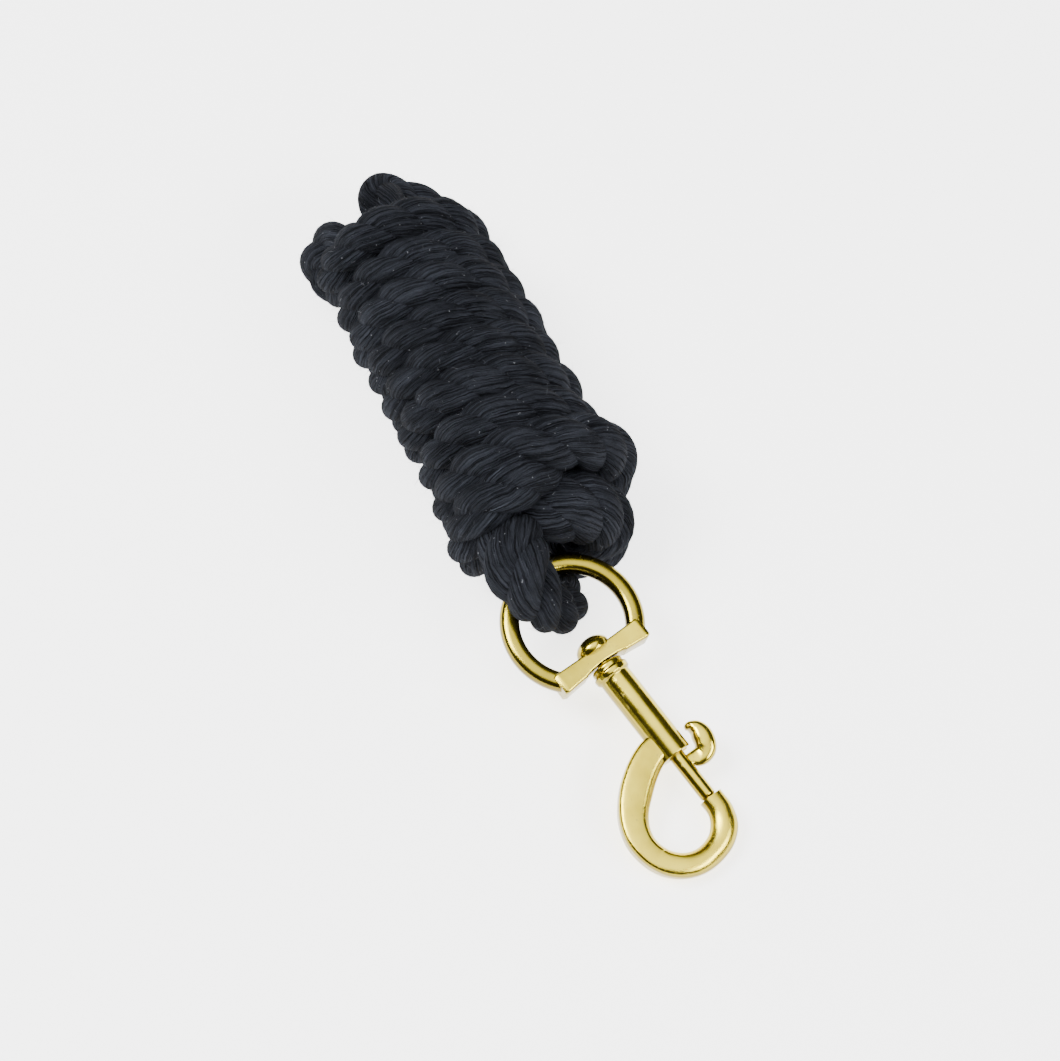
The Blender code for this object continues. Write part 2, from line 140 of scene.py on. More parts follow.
def cotton_material():
    """Matte black cotton.  Map U is the length along a strand in metres, V goes once round."""
    n = Nodes("black_cotton_cord")
    coords = n.add("ShaderNodeTexCoord")
    split = n.add("ShaderNodeSeparateXYZ", {"Vector": coords.outputs["UV"]})
    along, around = split.outputs["X"], split.outputs["Y"]
    place = coords.outputs["Object"]
    # a cylinder in texture space, so that the yarns close on themselves round the strand
    turn = n.math("MULTIPLY", n.math("MULTIPLY_ADD", along, YARN_TURNS, around), 2 * math.pi)
    wander = n.math("MULTIPLY", n.math("SUBTRACT", n.noise(place, 300.0, 2.0), 0.5), 0.22)
    turn = n.math("ADD", turn, wander)
    cosine, sine = n.math("COSINE", turn), n.math("SINE", turn)

    def streaks(fineness, length, detail):
        line = n.add("ShaderNodeCombineXYZ", {
            "X": n.math("MULTIPLY", cosine, fineness), "Y": n.math("MULTIPLY", sine, fineness),
            "Z": n.math("MULTIPLY", along, 1.0 / length)})
        return n.noise(line.outputs[0], 1.0, detail, 0.6)

    yarns = n.ramp(streaks(8.5, 0.014, 1.0), 0.40, 0.58)
    threads = n.ramp(streaks(19.0, 0.007, 2.0), 0.38, 0.62)
    fibres = n.noise(place, 5200.0, 3.0, 0.7)
    patches = n.noise(place, 70.0, 3.0)
    specks = n.ramp(n.noise(place, 900.0, 1.0, 0.5), 0.765, 0.785)
    dark = (0.0024, 0.0027, 0.0036, 1.0)
    light = (0.0375, 0.0415, 0.0525, 1.0)
    level = n.math("MULTIPLY_ADD", yarns, 0.55, n.math("MULTIPLY", threads, 0.45))
    level = n.math("MULTIPLY", level, n.ramp(patches, 0.3, 0.7, 0.6, 1.25))
    level = n.math("MULTIPLY", level, n.ramp(fibres, 0.3, 0.7, 0.6, 1.35), clamp=True)
    colour = n.mix(level, dark, light)
    colour = n.mix(n.math("MULTIPLY", specks, 0.7), colour, (0.24, 0.25, 0.27, 1.0))
    n.put(n.shader.inputs["Base Color"], colour)
    n.put(n.shader.inputs["Roughness"], 0.9)
    n.put(n.shader.inputs["Specular IOR Level"], 0.06)
    coarse = n.bump(yarns, 0.00075, 1.0)
    medium = n.bump(threads, 0.00042, 1.0, coarse)
    fine = n.bump(fibres, 0.00016, 0.9, medium)
    n.put(n.shader.inputs["Normal"], fine)
    return n.mat


def brass_material(name, satin, shade_darkening=0.0):
    """Pale gold plating.  satin from 0, polished, to 1, sandy and matte.  Faces that stand
    upright are painted darker and browner, as painted shade on the side walls."""
    n = Nodes(name)
    coords = n.add("ShaderNodeTexCoord")
    place = coords.outputs["Object"]
    facing = n.add("ShaderNodeSeparateXYZ", {"Vector": coords.outputs["Normal"]}).outputs["Z"]
    grain = n.noise(place, 4200.0, 2.0, 0.6)
    cloud = n.noise(place, 160.0, 3.0)
    spots = n.ramp(n.noise(place, 700.0, 2.0), 0.66, 0.74)
    # painted shade: the last argument darkens this whole copy of the brass; the ring's copy is
    # darkened so, in place of its dark reflections beside the black rope
    keep = 1.0 - shade_darkening
    pale = (0.93 * keep, 0.75 * keep, 0.075 * keep, 1.0)
    deep = (0.79 * keep, 0.61 * keep, 0.05 * keep, 1.0)
    side_shade_brown = (0.074, 0.054, 0.024, 1.0)
    colour = n.mix(n.ramp(cloud, 0.3, 0.7), deep, pale)
    # painted shade: faces that stand upright are mixed towards a dark colour, in place of the dark
    # reflections of side walls
    upright = n.ramp(n.math("ABSOLUTE", facing), 0.40, 0.96)
    colour = n.mix(n.math("MULTIPLY_ADD", upright, 0.8, 0.2), side_shade_brown, colour)
    colour = n.mix(n.math("MULTIPLY", spots, 0.3), colour, (0.36, 0.27, 0.12, 1.0))
    n.put(n.shader.inputs["Base Color"], colour)
    n.put(n.shader.inputs["Metallic"], 1.0)
    base = 0.13 + 0.04 * satin
    rough = n.ramp(cloud, 0.3, 0.7, base, base + 0.05)
    flat = n.ramp(n.math("ABSOLUTE", facing), 0.90, 0.985, 0.0, 0.22 * satin)
    rough = n.math("ADD", rough, flat)
    n.put(n.shader.inputs["Roughness"], n.math("MULTIPLY_ADD", spots, 0.15, rough))
    wavy = n.bump(n.noise(place, 230.0, 2.0), 0.00010, 0.6)
    n.put(n.shader.inputs["Normal"], n.bump(grain, 0.00003 + 0.00005 * satin, 0.6, wavy))
    return n.mat


def steel_material():
    n = Nodes("spring_steel")
    place = n.add("ShaderNodeTexCoord").outputs["Object"]
    drawn = n.noise(place, 3000.0, 2.0)
    n.put(n.shader.inputs["Base Color"], n.mix(drawn, (0.42, 0.42, 0.43, 1), (0.6, 0.6, 0.61, 1)))
    n.put(n.shader.inputs["Metallic"], 1.0)
    n.put(n.shader.inputs["Roughness"], n.ramp(drawn, 0.3, 0.7, 0.25, 0.4))
    return n.mat


def floor_material():
    n = Nodes("white_floor")
    place = n.add("ShaderNodeTexCoord").outputs["Object"]
    tone = n.mix(n.noise(place, 12.0), (0.86, 0.86, 0.86, 1.0), (0.88, 0.88, 0.88, 1.0))
    n.put(n.shader.inputs["Base Color"], tone)
    n.put(n.shader.inputs["Roughness"], 0.7)
    n.put(n.shader.inputs["Emission Color"], (1.0, 1.0, 1.0, 1.0))
    n.put(n.shader.inputs["Emission Strength"], 3.0)
    return n.mat


# ---- curves and frames --------------------------------------------------------------------

ROWS_PER_KNOT = 16


def smooth_route(knots, step):
    """Rows of numbers at even steps on the smooth curve through the given rows."""
    knots = np.array(knots, dtype=float)
    ghost = np.vstack([2 * knots[0] - knots[1], knots, 2 * knots[-1] - knots[-2]])
    rows = []
    share = np.linspace(0.0, 1.0, ROWS_PER_KNOT, endpoint=False)[:, None]
    for a, b, c, d in zip(ghost, ghost[1:], ghost[2:], ghost[3:]):
        # parameters that follow the knots' distances keep tight corners from looping
        ta = max(np.linalg.norm((b - a)[:3]), 1e-6) ** 0.5
        tb = max(np.linalg.norm((c - b)[:3]), 1e-6) ** 0.5
        tc = max(np.linalg.norm((d - c)[:3]), 1e-6) ** 0.5
        start = (b - a) / ta - (c - a) / (ta + tb) + (c - b) / tb
        end = (c - b) / tb - (d - b) / (tb + tc) + (d - c) / tc
        start, end = start * tb, end * tb
        rows.append(blend(share, b, start, c, end))
    rows = np.vstack(rows + [knots[-1:]])
    return even_steps(rows, step)


def blend(t, start, start_slope, end, end_slope):
    """The cubic from start at t = 0 to end at t = 1 with the given slopes there."""
    return ((2 * t ** 3 - 3 * t ** 2 + 1) * start + (t ** 3 - 2 * t ** 2 + t) * start_slope
            + (3 * t ** 2 - 2 * t ** 3) * end + (t ** 3 - t ** 2) * end_slope)


def distances(points):
    """How far along the curve each point is."""
    steps = np.linalg.norm(np.diff(points, axis=0), axis=1)
    return np.concatenate([[0.0], np.cumsum(steps)])


def even_steps(rows, step):
    """The same curve with its rows at even steps along it."""
    length = distances(rows[:, :3])
    marks = np.linspace(0.0, length[-1], max(2, int(round(length[-1] / step)) + 1))
    return np.stack([np.interp(marks, length, rows[:, k]) for k in range(rows.shape[1])], axis=1)


def carried_frames(points):
    """Directions along a curve and two across it that don't twist about it, each carried from
    the one before by two reflections."""
    along = np.gradient(points, axis=0)
    along /= np.linalg.norm(along, axis=1)[:, None]
    side = np.zeros_like(points)
    start = np.array((0.0, 0.0, 1.0)) if abs(along[0][2]) < 0.9 else np.array((1.0, 0.0, 0.0))
    start = start - start @ along[0] * along[0]
    side[0] = start / np.linalg.norm(start)
    for i in range(1, len(points)):
        step = points[i] - points[i - 1]
        size = step @ step
        mirrored = side[i - 1] - 2 / size * (step @ side[i - 1]) * step
        tangent = along[i - 1] - 2 / size * (step @ along[i - 1]) * step
        turn = along[i] - tangent
        size = turn @ turn
        if size > 1e-14:
            mirrored = mirrored - 2 / size * (turn @ mirrored) * turn
        side[i] = mirrored / np.linalg.norm(mirrored)
    return along, side, np.cross(along, side)


# ---- rope ---------------------------------------------------------------------------------

STRANDS = 3
STRAND_OFFSET = 0.235           # strand's middle from the rope's, in rope thicknesses
STRAND_RADIUS = 0.315
STRAND_SIDES = 20
STRAND_STEP = 1.15              # mm between the sections of a strand
FLOOR_GAP = 0.12                # mm from the floor to the flattened underside

TURN_TOPS = (-20.0, -5.2, 6.92, 19.36, 32.12, 45.2, 58.6, 71.9)   # x of each turn's crown
FIRST_TURN = -0.42              # where the wrapping starts, in turns from the first crown
KNOTS_PER_TURN = 16
STARTING_PITCH = 14.0           # mm along X per turn, before the first crown
HANK_RADIUS = 27.9              # mm, at the far end
HANK_GROWTH = 1.0               # mm more at the snap's end
WOUND_THICKNESS = 17.2          # mm, at the far end
WOUND_GROWTH = 0.9              # mm more at the snap's end
TIGHT = (0.84, 1.0, 30.4)       # a tight turn: squeezed along X, not in height, and its lay
CORE = (0.95, 0.95, 38.0)       # a run inside the turns


def wound_turns():
    """The wrapped turns: from underneath the far end, round by the left, to the last crown."""
    rows = []
    tops = np.array(TURN_TOPS)
    turns = np.arange(len(tops))
    span = len(tops) - 1 - FIRST_TURN
    count = int(span * KNOTS_PER_TURN)
    for i in range(count + 1):
        turn = FIRST_TURN + span * i / count
        x = np.interp(turn, turns, tops) if turn >= 0 else tops[0] + turn * STARTING_PITCH
        share = min(1.0, max(0.0, (x + 17.0) / 75.6))
        thick = WOUND_THICKNESS + WOUND_GROWTH * share
        outer = HANK_RADIUS + HANK_GROWTH * share
        # no turn is quite like the next in thickness, height or place
        thick *= 1.0 + 0.03 * math.sin(4.3 * turn)
        reach = outer - 0.52 * thick + 0.35 * math.sin(3.7 * turn + 2.0)
        x += 0.45 * math.sin(2.3 * turn + 1.0) + 0.3 * math.sin(5.1 * turn)
        angle = 2 * math.pi * turn
        height = outer - 0.7 + reach * math.cos(angle)
        # the underside flattens where it lies on the floor
        lowest = 0.53 * thick + 0.1
        soft = 1.2
        height = lowest + soft * math.log1p(math.exp(min(40.0, (height - lowest) / soft)))
        rows.append((x, reach * math.sin(angle), height, thick, *TIGHT))
    return rows


def rope_rows():
    """The whole rope from the splice at the snap to its end: x, y, z and thickness in mm, how
    much it is squeezed along X and in height, and the length of one turn of its strands."""
    eye = [(87.5, -9.5, 21.0, 7.0), (88.8, -8.0, 15.5, 10.0), (93.5, -5.8, 10.8, 12.6),
           (100.0, -3.6, 9.8, 14.2), (105.6, -4.6, 12.2, 14.6), (108.8, -8.0, 17.2, 14.8),
           (108.4, -12.0, 23.8, 15.6), (104.8, -14.8, 30.2, 17.2), (98.6, -15.6, 33.8, 19.2),
           (92.0, -14.2, 34.0, 19.8), (85.2, -11.6, 32.6, 17.0), (78.0, -10.2, 30.4, 13.8),
           (71.0, -9.2, 28.8, 12.8)]
    eye = [(*row, 1.0, 0.9, 30.0) for row in eye]
    first_pass = [(64.0, -8.8, 28.4, 12.8), (40.0, -8.8, 28.0, 12.6), (10.0, -8.8, 27.6, 12.6),
                  (-15.0, -8.6, 27.4, 12.6), (-25.0, -9.2, 27.8, 13.0)]
    first_pass = [(*row, *CORE) for row in first_pass]
    far_low = [(-32.0, -11.5, 27.0, 14.0), (-37.4, -15.8, 24.0, 14.4), (-38.6, -20.2, 18.4, 14.6),
               (-36.4, -21.6, 12.6, 14.6), (-31.0, -16.5, 10.2, 14.0), (-25.5, -9.0, 13.4, 13.4)]
    far_low = [(*row, 1.0, 1.0, 32.0) for row in far_low]
    second_pass = [(-18.0, -3.0, 17.6, 12.6), (-5.0, 0.0, 18.2, 12.6), (25.0, 0.0, 18.6, 12.6),
                   (50.0, 0.0, 19.0, 12.6), (60.0, 0.0, 21.4, 12.8)]
    second_pass = [(*row, *CORE) for row in second_pass]
    near = [(67.0, -0.4, 23.6, 13.4), (74.0, -1.8, 27.2, 14.6), (79.8, -2.6, 31.4, 17.8),
            (84.2, 1.6, 33.4, 19.6), (86.0, 8.2, 32.6, 20.4), (88.0, 14.2, 27.2, 20.0),
            (90.4, 16.8, 19.4, 18.2), (92.2, 12.4, 12.0, 16.4), (88.6, 5.8, 9.2, 14.8),
            (76.0, 8.2, 14.0, 13.8), (66.0, 8.8, 22.0, 13.0)]
    near = [(*row, 1.0, 1.0, 25.0) for row in near]
    third_pass = [(57.0, 9.2, 26.8, 12.6), (30.0, 8.8, 27.8, 12.6), (0.0, 8.6, 28.0, 12.6),
                  (-16.0, 6.0, 29.6, 12.6), (-26.0, 3.2, 32.0, 13.4)]
    third_pass = [(*row, *CORE) for row in third_pass]
    far_top = [(-33.0, 2.0, 33.8, 14.2), (-39.5, 0.6, 33.6, 14.2), (-44.8, 2.8, 30.0, 14.2),
               (-44.8, 8.0, 24.6, 14.4), (-39.8, 15.0, 21.2, 15.0), (-34.8, 20.2, 18.4, 15.2),
               (-31.0, 19.8, 12.2, 15.2), (-28.6, 8.0, 9.0, 15.2)]
    far_top = [(*row, 1.0, 1.0, 32.0) for row in far_top]
    last = [(72.9, 9.0, 48.3, 16.2), (74.0, 19.6, 42.4, 16.8), (74.8, 25.8, 28.8, 16.8),
            (75.6, 22.4, 14.6, 16.2), (77.5, 9.0, 8.8, 15.6), (80.0, -8.0, 9.0, 15.6),
            (81.0, -19.6, 16.2, 15.8), (80.6, -22.0, 29.0, 16.2), (79.6, -17.8, 40.4, 16.4),
            (79.0, -6.6, 44.8, 16.2), (76.2, 3.0, 41.4, 15.4), (69.5, 4.6, 37.4, 13.6)]
    last = [(*row, 0.92, 1.0, 32.0) for row in last]
    tail = [(60.0, 1.0, 36.6, 12.6), (40.0, 0.0, 36.4, 12.6), (15.0, 0.0, 36.2, 12.6),
            (-6.0, 0.0, 36.2, 12.6)]
    tail = [(*row, *CORE) for row in tail]
    return (eye + first_pass + far_low + second_pass + near + third_pass + far_top
            + wound_turns() + last + tail)


def strand_mesh(name, rows, around):
    """Three strands laid round the given route as one mesh, with a map along and round each."""
    points, thick, squeeze, lay = rows[:, :3], rows[:, 3], rows[:, 4:6], rows[:, 6]
    steps = np.linalg.norm(np.diff(points, axis=0), axis=1)
    so_far = distances(points)
    # the lay is looser in some places than in others
    slack = 1.0 + 0.10 * np.sin(so_far[1:] / 31.0) + 0.05 * np.sin(so_far[1:] / 11.3)
    turning = 2 * math.pi * steps * slack / (0.5 * (lay[1:] + lay[:-1]))
    twist = np.concatenate([[0.0], np.cumsum(turning)])
    _, side, up = carried_frames(points)
    angles = np.linspace(0.0, 2 * math.pi, around, endpoint=False)
    scale = np.stack([squeeze[:, 0], np.ones(len(rows)), squeeze[:, 1]], axis=1)
    verts, faces, maps = [], [], []
    for strand in range(STRANDS):
        turn = twist + 2 * math.pi * strand / STRANDS
        offset = (np.cos(turn)[:, None] * side + np.sin(turn)[:, None] * up)
        middle = points + STRAND_OFFSET * thick[:, None] * offset * scale
        _, left, over = carried_frames(middle)
        plump = 0.05 * np.sin(so_far / 8.7 + 2.1 * strand) + 0.03 * np.sin(so_far / 3.9 + strand)
        radius = STRAND_RADIUS * thick * (1.0 + plump)
        ring = (np.cos(angles)[None, :, None] * left[:, None, :]
                + np.sin(angles)[None, :, None] * over[:, None, :])
        skin = middle[:, None, :] + radius[:, None, None] * ring * scale[:, None, :]
        skin[:, :, 2] = np.maximum(skin[:, :, 2], FLOOR_GAP)
        run = distances(middle)
        base = len(verts)
        verts += skin.reshape(-1, 3).tolist()
        count = len(middle)
        for i in range(count - 1):
            for k in range(around):
                n = (k + 1) % around
                faces.append((base + i * around + k, base + i * around + n,
                              base + (i + 1) * around + n, base + (i + 1) * around + k))
                low, high = k / around, (k + 1) / around
                maps += [(run[i] * MM, low), (run[i] * MM, high),
                         (run[i + 1] * MM, high), (run[i + 1] * MM, low)]
        for row, mirror in ((0, True), (count - 1, False)):
            cap = [base + row * around + k for k in range(around)]
            faces.append(tuple(reversed(cap)) if mirror else tuple(cap))
            maps += [(run[row] * MM, k / around) for k in range(around)]
    mesh = bpy.data.meshes.new(name)
    mesh.from_pydata((np.array(verts) * MM).tolist(), [], faces)
    layer = mesh.uv_layers.new(name="strand_map")
    layer.data.foreach_set("uv", np.array(maps, dtype=np.float32).ravel())
    mesh.polygons.foreach_set("use_smooth", [True] * len(mesh.polygons))
    mesh.update()
    return mesh


FIBRES = 3600
FIBRE_SIDES = 3
FIBRE_STEPS = 4


def fuzz_mesh(skin, count):
    """Loose fibre ends that stand off the outside of the cord, where nothing covers it."""
    rng = np.random.default_rng(7)
    tree = BVHTree.FromPolygons([v.co for v in skin.vertices],
                                [tuple(p.vertices) for p in skin.polygons])
    verts, faces = [], []
    corners = FIBRE_SIDES * (FIBRE_STEPS + 1)
    for index in rng.permutation(len(skin.vertices))[:8 * count]:
        vertex = skin.vertices[int(index)]
        root, out = vertex.co, vertex.normal
        if tree.ray_cast(root + out * 0.0006, out, 0.012)[0] is not None:
            continue
        wander = Vector(rng.normal(size=3))
        aside = (wander - out * wander.dot(out)).normalized()
        long = rng.uniform(0.8, 3.4) * MM
        lift = rng.uniform(0.12, 0.75)
        curl = Vector(rng.normal(size=3)).normalized() * rng.uniform(0.1, 0.6)
        thin = rng.uniform(0.030, 0.055) * MM
        across = out.cross(aside).normalized()
        base = len(verts)
        for step in range(FIBRE_STEPS + 1):
            t = step / FIBRE_STEPS
            point = (root - out * 0.1 * MM + (aside + out * lift) * long * t
                     + curl * long * t * t * 0.6)
            point.z = max(point.z, 0.15 * MM)
            wide = thin * (1.0 - 0.65 * t)
            for k in range(FIBRE_SIDES):
                turn = 2 * math.pi * k / FIBRE_SIDES
                spot = point + (across * math.cos(turn) + out * math.sin(turn)) * wide
                verts.append(tuple(spot))
        for step in range(FIBRE_STEPS):
            for k in range(FIBRE_SIDES):
                n = (k + 1) % FIBRE_SIDES
                low = base + FIBRE_SIDES * step
                high = low + FIBRE_SIDES
                faces.append((low + k, low + n, high + n, high + k))
        faces.append(tuple(base + k for k in reversed(range(FIBRE_SIDES))))
        faces.append(tuple(base + corners - FIBRE_SIDES + k for k in range(FIBRE_SIDES)))
        if len(verts) >= corners * count:
            break
    mesh = bpy.data.meshes.new("loose_fibres")
    mesh.from_pydata(verts, [], faces)
    mesh.polygons.foreach_set("use_smooth", [True] * len(mesh.polygons))
    mesh.update()
    return mesh


def fibre_material():
    n = Nodes("loose_fibre")
    place = n.add("ShaderNodeTexCoord").outputs["Object"]
    pale = n.ramp(n.noise(place, 400.0, 1.0), 0.60, 0.70)
    n.put(n.shader.inputs["Base Color"], n.mix(pale, (0.022, 0.026, 0.034, 1.0),
                                               (0.20, 0.21, 0.23, 1.0)))
    n.put(n.shader.inputs["Roughness"], 0.8)
    n.put(n.shader.inputs["Specular IOR Level"], 0.1)
    return n.mat


def make_rope(cotton):
    rows = smooth_route(rope_rows(), STRAND_STEP)
    rows[:, :3] += SHIFT
    strands = strand_mesh("lead_rope", rows, STRAND_SIDES)
    rope = add_piece("lead_rope", strands, cotton, "hank")
    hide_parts("wrapped_turns", "rope_eye", "near_bight", "far_bight_low",
                "far_bight_top", "last_turn")
    fuzz = add_piece("loose_fibres", fuzz_mesh(rope.data, FIBRES), fibre_material(), "hank")


def add_piece(name, mesh, mat, body, matrix=None):
    """A visible piece on a body.  matrix takes the mesh from the snap's own frame."""
    obj = bpy.data.objects.new(name, mesh)
    bpy.context.scene.collection.objects.link(obj)
    if matrix is not None:
        mesh.transform(matrix)
    obj.data.materials.append(mat)
    bpy.context.view_layer.update()
    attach(obj, body)
    return obj


# ---- brass pieces, in mm in the snap's own frame ------------------------------------------

def loft(name, sections):
    """A closed skin through loops of points, with a flat face at each end."""
    count = len(sections[0])
    verts = [tuple(point) for section in sections for point in section]
    faces = []
    for i in range(len(sections) - 1):
        for k in range(count):
            n = (k + 1) % count
            faces.append((i * count + k, i * count + n, (i + 1) * count + n,
                          (i + 1) * count + k))
    last = (len(sections) - 1) * count
    faces.append(tuple(reversed(range(count))))
    faces.append(tuple(last + k for k in range(count)))
    mesh = bpy.data.meshes.new(name)
    mesh.from_pydata((np.array(verts) * MM).tolist(), [], faces)
    mesh.polygons.foreach_set("use_smooth", [True] * len(mesh.polygons))
    mesh.update()
    return mesh


def lathe(name, profile, around, flat=None):
    """A turned piece about the snap's axis from (along, radius) pairs.  flat is the direction
    of a filed flat and the share of the radius that it leaves."""
    sections = []
    for along, radius in profile:
        section = []
        for k in range(around):
            turn = 2 * math.pi * k / around
            reach = radius
            if flat and radius > 4.0:
                lean = math.cos(turn - flat[0])
                reach = min(radius, radius * flat[1] / lean) if lean > 0.2 else radius
            section.append((along, reach * math.cos(turn), reach * math.sin(turn)))
        sections.append(section)
    return loft(name, sections)


def squared(turn, power):
    """A point of a rounded square, going round by turn."""
    c, s = math.cos(turn), math.sin(turn)
    return math.copysign(abs(c) ** power, c), math.copysign(abs(s) ** power, s)


def cut(mesh, *cutters):
    """The mesh with other meshes taken out of it."""
    obj = bpy.data.objects.new("blank", mesh)
    bpy.context.scene.collection.objects.link(obj)
    tools = []
    for cutter in cutters:
        tool = bpy.data.objects.new("cutter", cutter)
        bpy.context.scene.collection.objects.link(tool)
        tools.append(tool)
        step = obj.modifiers.new("cut", "BOOLEAN")
        step.operation = "DIFFERENCE"
        step.solver = "EXACT"
        step.object = tool
    graph = bpy.context.evaluated_depsgraph_get()
    result = bpy.data.meshes.new_from_object(obj.evaluated_get(graph))
    for thing in [obj, *tools]:
        bpy.data.objects.remove(thing)
    return result


def creased(mesh, degrees):
    """Smooth shading that breaks at the sharp edges."""
    mesh.polygons.foreach_set("use_smooth", [True] * len(mesh.polygons))
    mesh.set_sharp_from_angle(angle=math.radians(degrees))
    return mesh


def rounded_profile(knots, radius):
    """(along, radius) pairs with small rounded corners in place of the sharp ones."""
    knots = [np.array(knot, float) for knot in knots]
    out = [knots[0]]
    for before, here, after in zip(knots, knots[1:], knots[2:]):
        size = min(radius, np.linalg.norm(before - here) / 2.2, np.linalg.norm(after - here) / 2.2)
        start = here + (before - here) / np.linalg.norm(before - here) * size
        end = here + (after - here) / np.linalg.norm(after - here) * size
        for t in (0.0, 0.25, 0.5, 0.75, 1.0):
            out.append((1 - t) ** 2 * start + 2 * t * (1 - t) * here + t * t * end)
    out.append(knots[-1])
    return [tuple(point) for point in out]


RING_RADIUS = 18.9
RING_HALF_WIDTH = 3.0           # in the ring's own plane
RING_HALF_DEPTH = 3.0
RING_OPENING = math.radians(41.5)     # from the snap's axis to each end, inside the bar
RING_SECTIONS = 96


def make_ring():
    """The round part of the eye, open where the bar closes it, a little thinner outwards."""
    sections = []
    for i in range(RING_SECTIONS + 1):
        angle = RING_OPENING + (2 * math.pi - 2 * RING_OPENING) * i / RING_SECTIONS
        out = np.array((math.cos(angle), math.sin(angle), 0.0))
        section = []
        for k in range(28):
            side, up = squared(2 * math.pi * (k + 0.5) / 28, 0.86)
            lean = 1.0 - 0.10 * (1 + side) / 2
            section.append(out * (RING_RADIUS + RING_HALF_WIDTH * side)
                           + np.array((0.0, 0.0, RING_HALF_DEPTH * up * lean)))
        sections.append(section)
    return loft("ring", sections)


def make_bar():
    """The bar across the ring's open side: bowed, squared at its ends, hollowed by the barrel."""
    sections = []
    half = 15.9
    edge = 0.75
    turns = (0.0, 0.25, 0.5, 0.75, 1.0)
    corner = [(edge * (1 - math.cos(t * math.pi / 2)), edge * (1 - math.sin(t * math.pi / 2)))
              for t in turns]
    marks = [-half, -half + 0.5] + np.linspace(-half + 1.2, half - 1.2, 61).tolist()
    marks += [half - 0.5, half]
    for y in marks:
        bow = 1.0 - min(1.0, (y / 15.0) ** 2)
        end = max(0.0, abs(y) - (half - 1.0))
        low = 10.3 + 0.15 * bow + 0.45 * end
        arch = max(0.0, 1.0 - (y / 7.2) ** 2) ** 0.5
        high = 17.1 - 0.95 * bow - 0.75 * arch - 0.45 * end
        depth = 3.95 - 0.5 * bow - 0.5 * end
        loop = []
        for x, z, sx, sz in ((high, depth, 1, 1), (low, depth, -1, 1), (low, -depth, -1, -1),
                             (high, -depth, 1, -1)):
            rounding = corner if sx * sz > 0 else corner[::-1]
            loop += [(x - sx * a, y, z - sz * b) for a, b in rounding]
        sections.append(loop)
    return creased(loft("bar", sections), 32.0)


def make_eye(satin, shaded_ring_brass):
    ring = add_piece("ring", make_ring(), shaded_ring_brass, "eye", SNAP_FRAME)
    bar = add_piece("bar", make_bar(), satin, "eye", SNAP_FRAME)
    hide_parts("swivel_eye")
    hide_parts("swivel_eye")


def make_rivet(mat):
    """A domed head inside the eye, and a shank through the bar into the barrel."""
    top, height, radius, steps = 6.3, 3.9, 5.5, 12
    profile = [(top, 0.0)]
    for i in range(1, steps + 1):
        turn = math.radians(84.0 * i / steps)
        profile.append((top + height * (1 - math.cos(turn)),
                        radius * math.sin(turn) / math.sin(1.466)))
    profile += [(10.6, 5.35), (11.3, 5.1), (11.5, 2.25), (25.6, 2.25), (25.6, 0.0)]
    mesh = creased(lathe("rivet", profile, 48), 50.0)
    rivet = add_piece("rivet", mesh, mat, "snap", SNAP_FRAME)
    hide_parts("swivel_rivet")


# points of the hook's outer edge and of its inner edge, from the barrel round to the nose's end
HOOK_EDGES = [
    ((40.6, -2.0), (49.3, -2.6)), ((41.2, -7.6), (50.6, -6.0)), ((43.8, -13.9), (52.6, -9.6)),
    ((48.6, -20.6), (55.6, -13.7)), ((55.0, -25.9), (59.0, -17.7)), ((62.3, -28.6), (62.8, -20.2)),
    ((69.5, -28.2), (66.9, -20.9)), ((75.6, -25.6), (70.9, -19.6)), ((79.9, -21.3), (73.7, -17.0)),
    ((82.3, -15.8), (75.1, -13.9)), ((82.6, -9.6), (75.2, -10.5)), ((80.9, -3.2), (74.1, -7.2)),
    ((77.0, 1.7), (71.9, -4.8)), ((71.5, 3.9), (69.2, -3.5)), ((65.7, 3.9), (65.7, -3.3))]


def make_hook():
    """A flat satin blade by the barrel that turns into a rounder nose."""
    rows = np.array([(*outer, *inner) for outer, inner in HOOK_EDGES])
    marks = np.arange(len(rows), dtype=float)
    fine = np.linspace(0, len(rows) - 1, 113)
    rows = np.stack([spline(marks, rows[:, k], fine) for k in range(4)], axis=1)
    sections = []
    for mark, (ox, oy, ix, iy) in zip(fine, rows):
        middle = np.array(((ox + ix) / 2, (oy + iy) / 2, 0.0))
        across = np.array(((ox - ix) / 2, (oy - iy) / 2, 0.0))
        nose = min(1.0, max(0.0, (mark - 6.5) / 3.5))
        tip = min(1.0, max(0.0, (mark - 12.6) / 1.4))
        power = 0.30 + 0.70 * nose - 0.34 * tip
        section = []
        for k in range(40):
            side, up = squared(2 * math.pi * (k + 0.5) / 40, power)
            bevel = 1.0 - (1 - nose) * 0.42 * max(0.0, (-side - 0.62) / 0.38)
            rim = 1.0 - (1 - nose) * 0.10 * max(0.0, (side - 0.80) / 0.20)
            crown = 1.0 - 0.13 * side * side
            lift = 3.2 * up * bevel * rim * crown
            section.append(middle + across * side + np.array((0.0, 0.0, lift)))
        sections.append(section)
    return loft("hook", sections)


def spline(marks, values, fine):
    """Smooth values between marks that are one apart."""
    slopes = np.gradient(values, marks)
    low = np.minimum(fine.astype(int), len(marks) - 2)
    return blend(fine - low, values[low], slopes[low], values[low + 1], slopes[low + 1])


def box(low, high):
    """A box between two corners, in mm."""
    points = [(x, y, z) for x in (low[0], high[0]) for y in (low[1], high[1])
              for z in (low[2], high[2])]
    faces = [(0, 1, 3, 2), (4, 6, 7, 5), (0, 4, 5, 1), (2, 3, 7, 6), (0, 2, 6, 4), (1, 5, 7, 3)]
    mesh = bpy.data.meshes.new("box")
    mesh.from_pydata((np.array(points) * MM).tolist(), [], faces)
    return mesh


